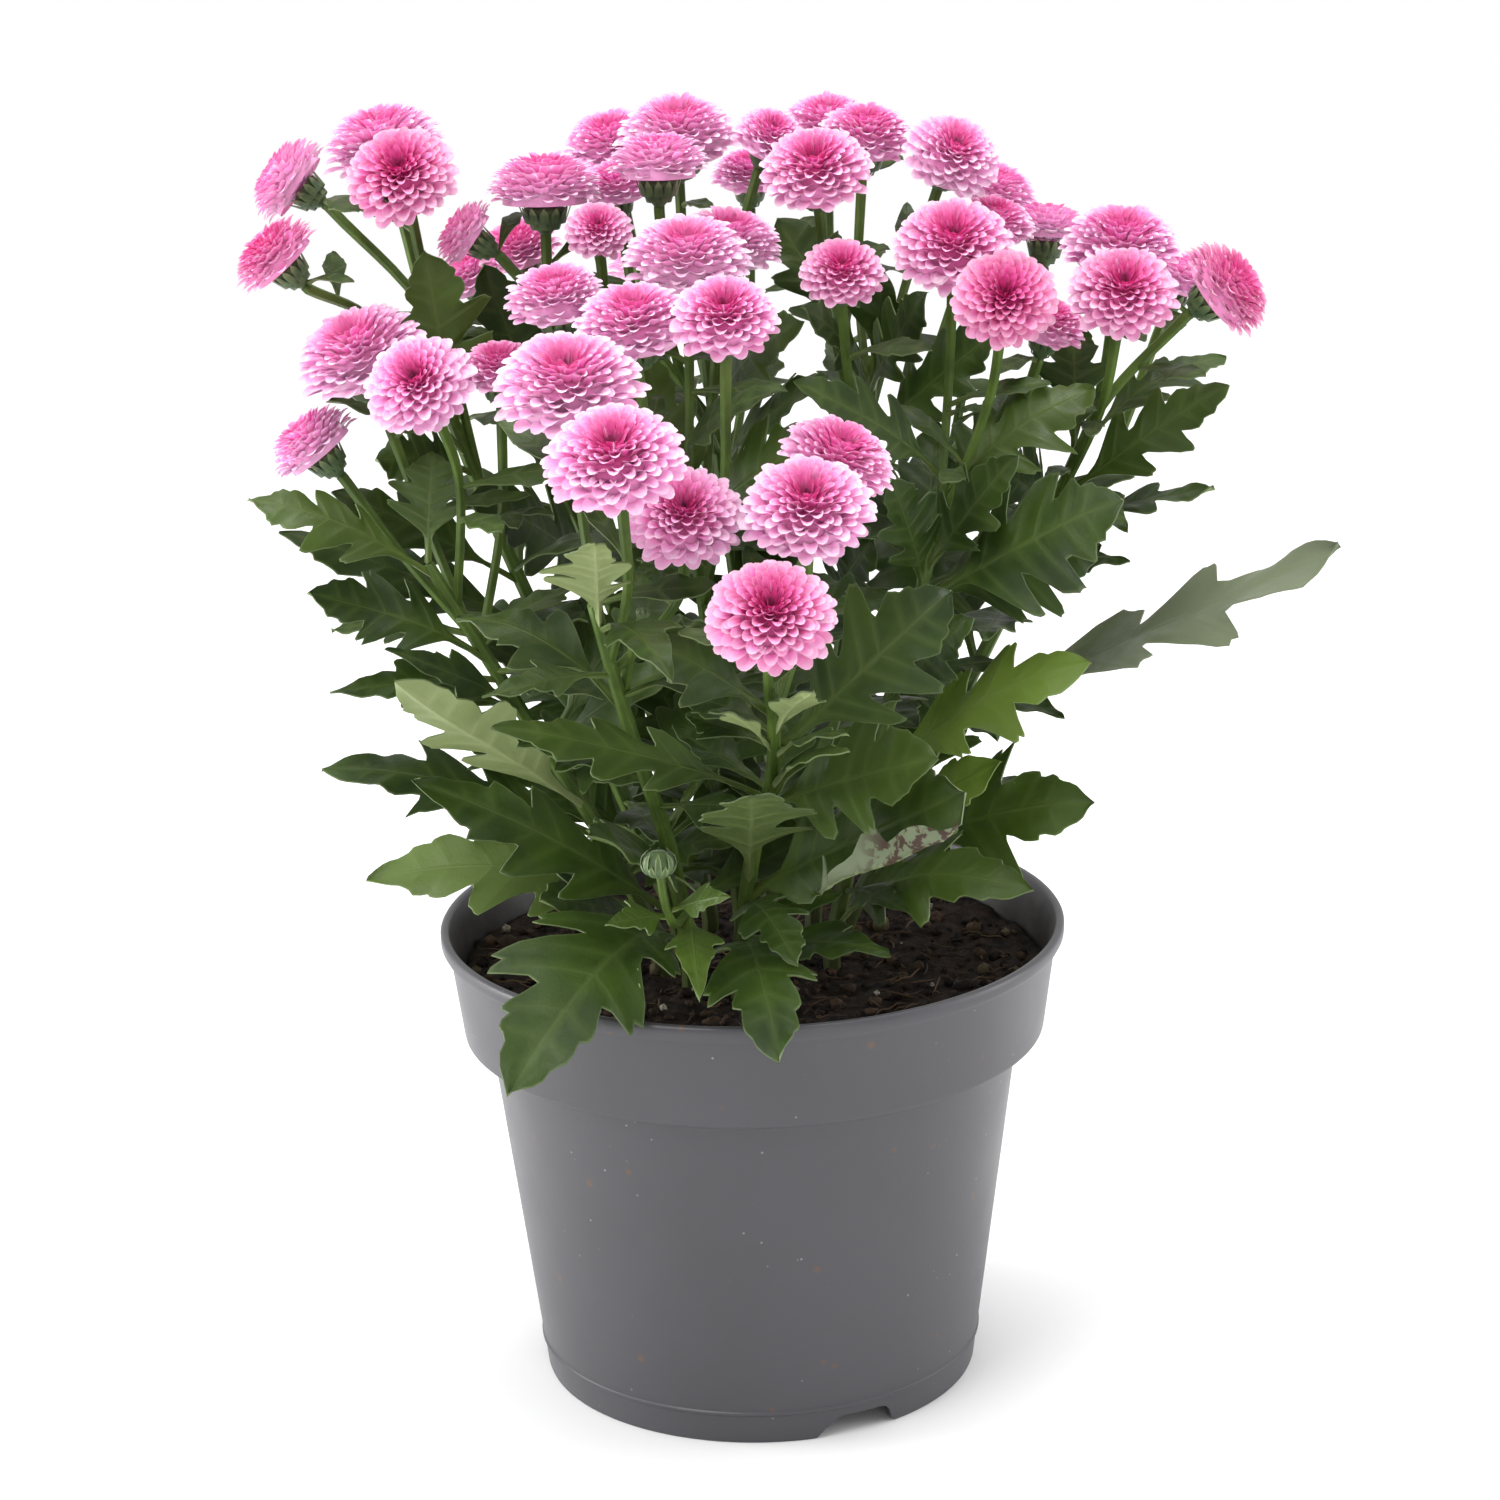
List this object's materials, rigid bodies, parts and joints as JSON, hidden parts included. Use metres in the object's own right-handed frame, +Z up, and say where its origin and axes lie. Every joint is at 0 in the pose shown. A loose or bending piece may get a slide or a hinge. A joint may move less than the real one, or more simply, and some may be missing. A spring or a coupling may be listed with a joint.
{
  "type": "potted chrysanthemum",
  "caption": "Bushy flowering pot plant with pink pompon blooms on leafy stems, standing in peat in a tapered grey plastic pot.",
  "frame": {"origin": "centre of the flat pad under the pot, on the surface that the pot stands on", "axes": "+Z up through the pot to the blooms, -Y towards the side that the picture shows, +X to the right in it"},
  "size_m": [0.2363, 0.2054, 0.2846],
  "materials": {
    "pot": "satin slate grey",
    "soil": "rough moist peat, with wood's density standing in for it",
    "greens": "satin leaf green, with leather's density standing in for fresh leaf and stem",
    "petals": "soft pink petals, with fabric's density standing in for a loose head of petals"
  },
  "bodies": {
    "root": {"pot": "pot", "soil": "soil", "shoot_left_back": "greens", "shoot_left_front": "greens", "shoot_back_left": "greens", "shoot_front_left": "greens", "shoot_front_right": "greens", "shoot_centre": "greens", "shoot_back": "greens", "shoot_back_right": "greens", "shoot_right": "greens", "shoot_far_right": "greens", "bloom_01": "petals", "bloom_02": "petals", "bloom_03": "petals", "bloom_04": "petals", "bloom_05": "petals", "bloom_06": "petals", "bloom_07": "petals", "bloom_08": "petals", "bloom_09": "petals", "bloom_10": "petals", "bloom_11": "petals", "bloom_12": "petals", "bloom_13": "petals", "bloom_14": "petals", "bloom_15": "petals", "bloom_16": "petals", "bloom_17": "petals", "bloom_18": "petals", "bloom_19": "petals", "bloom_20": "petals", "bloom_21": "petals", "bloom_22": "petals", "bloom_23": "petals", "bloom_24": "petals", "bloom_25": "petals", "bloom_26": "petals", "bloom_27": "petals", "bloom_28": "petals", "bloom_29": "petals", "bloom_30": "petals", "bloom_31": "petals", "bloom_32": "petals", "bloom_33": "petals", "bloom_34": "petals", "bloom_35": "petals", "bloom_36": "petals", "bloom_37": "petals", "bloom_38": "petals", "bloom_39": "petals", "bloom_40": "petals", "bloom_41": "petals", "bloom_42": "petals", "bloom_43": "petals", "bloom_44": "petals", "bloom_45": "petals", "bloom_46": "petals"}
  },
  "joints": []
}
